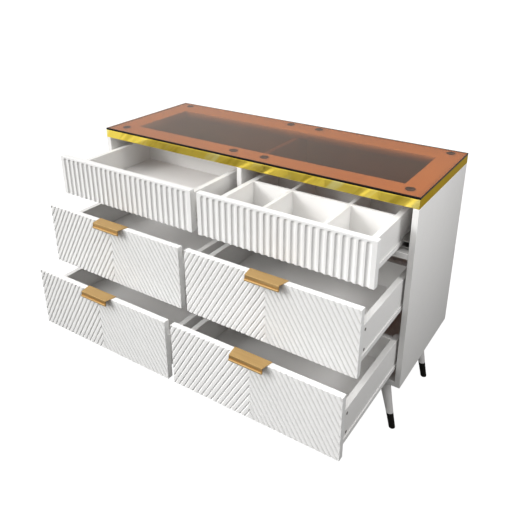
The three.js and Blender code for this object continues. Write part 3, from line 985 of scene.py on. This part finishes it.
# %% Add the bead and saw the ends
deselect_all()
bpy.ops.mesh.primitive_cylinder_add(
    vertices=BEAD_SIDES, radius=BEAD_RADIUS, depth=PULL_BACK_WIDTH, rotation=(0, math.pi / 2, 0),
    location=(pull_middle, pull_low.y + BEAD_RADIUS, bead_height),
)
combine(pull, named("bead"), "UNION")
for side in SIDES.values():
    lip_corner = Vector((pull_middle + side * PULL_LIP_WIDTH / 2, pull_low.y, 0))
    back_corner = Vector((pull_middle + side * PULL_BACK_WIDTH / 2, pull_high.y, 0))
    outward = side * (back_corner - lip_corner).cross(Vector((0, 0, 1)))
    edit_all(pull)
    bpy.ops.mesh.bisect(plane_co=lip_corner, plane_no=outward, use_fill=True, clear_outer=True)
    leave_edit()
ease_edges(pull, PULL_ROUNDING, sharper_than=40)
smooth_faces(pull, sharper_than=40)
fit_with_copies(pull, DEEP_DRAWERS, "pull", "handle", "gold_pull")
print("pull size in mm:", [round(v / MM, 1) for v in pull.dimensions])

# %% [markdown]
# ## Turned legs with dipped tips
#
# The legs are turned to a flare that quickens towards the top, and set so that the feet stand
# further out than the tops. The last 60 mm are dipped black. A spin would make an upright leg, but
# these lean, so each leg is drawn up from the foot ring by ring, every ring a little wider and a
# little further in than the one below. The black tip is a piece of its own, with a hairline where
# the two colours meet.

# %% The leg's outline
FOOT_RADIUS = 11 * MM
LEG_TOP_RADIUS = 23 * MM
FOOT_ROUNDING = 3 * MM
FOOT_ROUNDING_STEPS = 6
FLARE_POWER = 1.6
TIP_HEIGHT = 60 * MM
TIP_STEPS = 10
LEG_STEPS = 24
HAIRLINE = 0.15 * MM
leg_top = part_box("leg_front_left")[1].z


def leg_radius(height):
    """A rounded foot, and above it a flare that quickens upwards."""
    if height < FOOT_ROUNDING:
        below_full = FOOT_ROUNDING - height
        return FOOT_RADIUS - FOOT_ROUNDING + math.sqrt(max(0, FOOT_ROUNDING**2 - below_full**2))
    return FOOT_RADIUS + (LEG_TOP_RADIUS - FOOT_RADIUS) * (height / leg_top) ** FLARE_POWER


def heights_between(low, high, count):
    return [low + (high - low) * step / count for step in range(count + 1)]


def rings_at(heights):
    return [(height, leg_radius(height)) for height in heights]


foot_turns = [math.pi / 2 * step / FOOT_ROUNDING_STEPS for step in range(FOOT_ROUNDING_STEPS)]
foot_curve = [FOOT_ROUNDING * (1 - math.cos(turn)) for turn in foot_turns]
colour_line = (TIP_HEIGHT - HAIRLINE, leg_radius(TIP_HEIGHT) - HAIRLINE)
tip_rings = rings_at(foot_curve + heights_between(FOOT_ROUNDING, TIP_HEIGHT - 2 * HAIRLINE, TIP_STEPS))
tip_rings.append(colour_line)
leg_rings = [colour_line] + rings_at(heights_between(TIP_HEIGHT, leg_top - HAIRLINE, LEG_STEPS))
leg_rings.append((leg_top, leg_radius(leg_top) - HAIRLINE))
print("rings in a leg and in a tip:", len(leg_rings), len(tip_rings))

# %% Draw up the legs
FOOT_SIDE_OFFSET = 52 * MM
LEG_HEIGHT = 228 * MM
LEG_SIDES = 64


def turned_piece(name, foot, inward, rings):
    """Draws a round piece up through rings of (height, radius), sliding inwards as it rises."""
    lean = inward * FOOT_SIDE_OFFSET / LEG_HEIGHT
    height, radius = rings[0]
    deselect_all()
    bpy.ops.mesh.primitive_circle_add(
        vertices=LEG_SIDES, radius=radius, fill_type="NGON",
        location=(foot[0] + lean * height, foot[1], height),
    )
    piece = named(name)
    edit_all(piece)
    for next_height, next_radius in rings[1:]:
        rise = next_height - height
        bpy.ops.mesh.extrude_region_move(TRANSFORM_OT_translate={"value": (lean * rise, 0, rise)})
        bpy.ops.transform.resize(
            value=(next_radius / radius, next_radius / radius, 1),
            center_override=(foot[0] + lean * next_height, foot[1], next_height),
        )
        height, radius = next_height, next_radius
    leave_edit()
    turn_faces_out(piece)
    smooth_faces(piece, sharper_than=40)
    return piece


for face_name in ("front", "back"):
    for side_name, side in SIDES.items():
        node = f"leg_{face_name}_{side_name}"
        leg_low, leg_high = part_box(node)
        foot_x = leg_low.x + FOOT_RADIUS if side < 0 else leg_high.x - FOOT_RADIUS
        foot = (foot_x, (leg_low.y + leg_high.y) / 2)
        fit_piece(turned_piece(f"{node}_turning", foot, -side, leg_rings), node, "white_leg")
        fit_piece(turned_piece(f"{node}_black_tip", foot, -side, tip_rings), node, "black_tip")
print("the last foot stands at:", [round(v, 3) for v in foot])

# %% [markdown]
# ## The gold edge band
#
# The band round the top is four brass bars mitred at the corners and polished. One ring would be
# simpler, but it would lack the fine seam that shows at every corner. Each bar is a block of the
# full length whose ends are cut at forty-five degrees, a hair short. Its edges are eased, which
# gives the bright line along the top. The bars at the island's ends are seen at a flat angle, where
# any metal mirrors almost white, so they have a finish with a gold grazing tint, and its colour is darker
# with fewer streaks, which paints the shade on the island's ends.

# %% Mitre the band
BAND_ROUNDING = 1.4 * MM
BAND_ROUNDING_STEPS = 4
MITRE_SEAM = 0.12 * MM
BAND_WALL = 4 * MM
BAND_WAYS = {"front": (0, -1, 0), "back": (0, 1, 0), "left": (-1, 0, 0), "right": (1, 0, 0)}


def band_bar(name, low, high, way):
    """One bar of the band, its ends mitred. Way points from the middle of the island to the bar."""
    bar = add_block(name, low, high)
    ease_edges(bar, BAND_ROUNDING, BAND_ROUNDING_STEPS)
    for end in (-1, 1):
        along = Vector((abs(way.y), abs(way.x), 0)) * end
        corner_x = band_high.x if (way + along).x > 0 else band_low.x
        corner_y = band_high.y if (way + along).y > 0 else band_low.y
        corner = Vector((corner_x, corner_y, (band_low.z + band_high.z) / 2))
        edit_all(bar)
        bpy.ops.mesh.bisect(
            plane_co=corner - along * MITRE_SEAM, plane_no=along - way, use_fill=True, clear_outer=True,
        )
        leave_edit()
    smooth_faces(bar)
    return bar


for name, way in BAND_WAYS.items():
    way = Vector(way)
    low, high = band_low.copy(), band_high.copy()
    for axis in range(2):
        if way[axis] > 0:
            low[axis] = high[axis] - BAND_WALL
        if way[axis] < 0:
            high[axis] = low[axis] + BAND_WALL
    # The end bars take the darker copy of the gold: painted shade.
    finish = "gold_trim_end_painted_shade" if name in SIDES else "gold_trim"
    fit_piece(band_bar(f"gold_band_{name}", low, high, way), "edge_trim", "gold_trim", finish)
print("band bars:", len(BAND_WAYS))

# %% [markdown]
# ## Glass sheet and its pads
#
# The glass lies on eight small round pads that stick to the white frame, and show through it as
# dark spots. Its edges are ground to a narrow arris and polished. A narrow strip along the front
# is as dark as the edge, which makes the front edge the strongest line of the top. The strip could
# be a piece of its own, but a bisect that marks its border in the sheet keeps the glass whole.

# %% Lay the glass
ARRIS = 1.0 * MM
FRONT_BORDER = 4 * MM
EDGE_TURN = 0.5

glass = add_block("glass_sheet", glass_low, glass_high)
ease_edges(glass, ARRIS, steps=1)
edit_all(glass)
border = glass_low.y + FRONT_BORDER
bpy.ops.mesh.bisect(plane_co=(0, border, 0), plane_no=(0, 1, 0))
leave_edit()
fit_piece(glass, "glass_top", "tinted_glass")
glass.data.materials.append(FINISH["glass_edge"])
for face in glass.data.polygons:
    is_edge = face.normal.x > EDGE_TURN or abs(face.normal.y) > EDGE_TURN
    face.material_index = 1 if is_edge or face.center.y < border else 0
print("dark faces of the glass:", sum(face.material_index for face in glass.data.polygons))

# %% Stick on the pads
PAD_RADIUS = 13 * MM
PAD_SIDES = 40
PAD_CENTRE_RADIUS = 5 * MM
PAD_CENTRE_DIP = 0.5 * MM
PAD_ROUNDING = 0.5 * MM
PAD_TOP_WITHIN = 0.1 * MM
PAD_COLUMNS = {"inner": 61 * MM, "outer": 550 * MM}
PAD_ROWS = {"front": -170 * MM, "back": 198 * MM}
LOOKS_THAT_WAY = 0.9
pad_low = frame_high.z
pad_high = glass_low.z - JOINT_GAP


def on_pad_top(face):
    return face.normal.z > LOOKS_THAT_WAY and face.calc_center_median().z > pad_high - PAD_TOP_WITHIN


def add_pad(name, x, y):
    """A low round pad with a rounded rim and a small dip in its middle."""
    deselect_all()
    bpy.ops.mesh.primitive_cylinder_add(
        vertices=PAD_SIDES, radius=PAD_RADIUS, depth=pad_high - pad_low,
        location=(x, y, (pad_low + pad_high) / 2),
    )
    pad = named(name)
    ease_edges(pad, PAD_ROUNDING)
    edit_all(pad)
    pick_faces(pad, on_pad_top)
    bpy.ops.mesh.inset(thickness=PAD_RADIUS - PAD_ROUNDING - PAD_CENTRE_RADIUS, depth=0)
    bpy.ops.mesh.inset(thickness=PAD_CENTRE_DIP, depth=-PAD_CENTRE_DIP)
    leave_edit()
    smooth_faces(pad, sharper_than=40)
    add_to_body(pad, "cabinet", "pad_rubber")


for side_name, side in SIDES.items():
    for column, from_middle in PAD_COLUMNS.items():
        for row, behind_middle in PAD_ROWS.items():
            add_pad(f"pad_{row}_{side_name}_{column}", side * from_middle, glass_centre.y + behind_middle)
print("pads from", round(pad_low, 4), "to", round(pad_high, 4))

# %% [markdown]
# ## Channels, screws and caps
#
# The drawers' base boards run in steel channels folded from one strip. A channel could be drawn
# out of a C-shaped outline, but a bar whose open side and ends are taken off keeps the frame's
# outer size exactly: it leaves a thin skin that then gets its thickness inwards. Two screws hold
# each channel to its wall, and two small dark caps hide the bolts in each side of the deep drawers.

# %% Fold the channels
CHANNEL_WALL = 1.5 * MM
CHANNEL_ROUNDING = 0.5 * MM


def fold_channel(name, node, opens):
    """A C-shaped channel whose web stands against the wall; opens is +1 where it opens to the right."""
    channel = add_block(name, *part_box(node))
    edit_all(channel)
    pick_faces(
        channel,
        lambda face: face.normal.x * opens > LOOKS_THAT_WAY or abs(face.normal.y) > LOOKS_THAT_WAY,
    )
    bpy.ops.mesh.delete(type="ONLY_FACE")
    leave_edit()
    apply_modifier(channel, "SOLIDIFY", thickness=CHANNEL_WALL, offset=-1, use_even_offset=True)
    turn_faces_out(channel)
    ease_edges(channel, CHANNEL_ROUNDING)
    smooth_faces(channel)
    fit_piece(channel, node, "channel_steel")


for drawer in DRAWERS:
    for side_name, side in SIDES.items():
        fold_channel(f"{drawer}_{side_name}_runner", f"{drawer}_channel_{side_name}", -side)
low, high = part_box("top_left_channel_left")
print("a runner's size in mm:", [round(v / MM, 1) for v in high - low])

# %% Screws and caps
SCREW_RADIUS = 3.5 * MM
SCREW_HEAD = 1.0 * MM
SCREWS_FROM_ENDS = 60 * MM
CAP_RADIUS = 4.5 * MM
CAP_HEAD = 0.7 * MM
CAP_FROM_BACK_OF_FRONT = 21 * MM
CAP_DROPS = (80 * MM, 143 * MM)
BUTTON_SIDES = 24
RIM_STEPS = 3
RIM_SHARE = 0.7


def add_button(name, centre, way, radius, head, body):
    """A flat round head that stands on a wall and looks along x, its rim rounded over."""
    deselect_all()
    bpy.ops.mesh.primitive_cylinder_add(
        vertices=BUTTON_SIDES, radius=radius, depth=head, rotation=(0, math.pi / 2, 0),
        location=(centre[0] + way * head / 2, centre[1], centre[2]),
    )
    button = named(name)
    edit_all(button)
    pick_vertices(button, lambda place: (place.x - centre[0]) * way > head / 2)
    bpy.ops.mesh.bevel(offset=head * RIM_SHARE, segments=RIM_STEPS, affect="EDGES")
    leave_edit()
    smooth_faces(button, sharper_than=40)
    add_to_body(button, body, "screw_steel")


for drawer in DRAWERS:
    for side_name, side in SIDES.items():
        low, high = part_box(f"{drawer}_channel_{side_name}")
        web = low.x + CHANNEL_WALL if side < 0 else high.x - CHANNEL_WALL
        for number, y in enumerate((low.y + SCREWS_FROM_ENDS, high.y - SCREWS_FROM_ENDS), 1):
            name = f"{drawer}_{side_name}_runner_screw_{number}"
            add_button(name, (web, y, (low.z + high.z) / 2), -side, SCREW_RADIUS, SCREW_HEAD, "cabinet")
for drawer in DEEP_DRAWERS:
    front_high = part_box(f"{drawer}_drawer_front")[1]
    for side_name, side in SIDES.items():
        low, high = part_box(f"{drawer}_drawer_side_{side_name}")
        face_x = low.x if side < 0 else high.x
        for number, drop in enumerate(CAP_DROPS, 1):
            name = f"{drawer}_{side_name}_bolt_cap_{number}"
            centre = (face_x, front_high.y + CAP_FROM_BACK_OF_FRONT, front_high.z - drop)
            add_button(name, centre, side, CAP_RADIUS, CAP_HEAD, f"{drawer}_drawer")
print("screws:", 4 * len(DRAWERS), "caps:", 4 * len(DEEP_DRAWERS))

# %% [markdown]
# ## Last checks
#
# The dressed island must fill the same box as the frame, because its size is real. The two boxes
# are compared and the largest difference between them is printed.

# %% Compare sizes and finish
look_low, look_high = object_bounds()
differences = [abs(v) for v in (*(look_low - cad_low), *(look_high - cad_high))]
print("largest difference in mm:", round(max(differences) / MM, 3))
deselect_all()
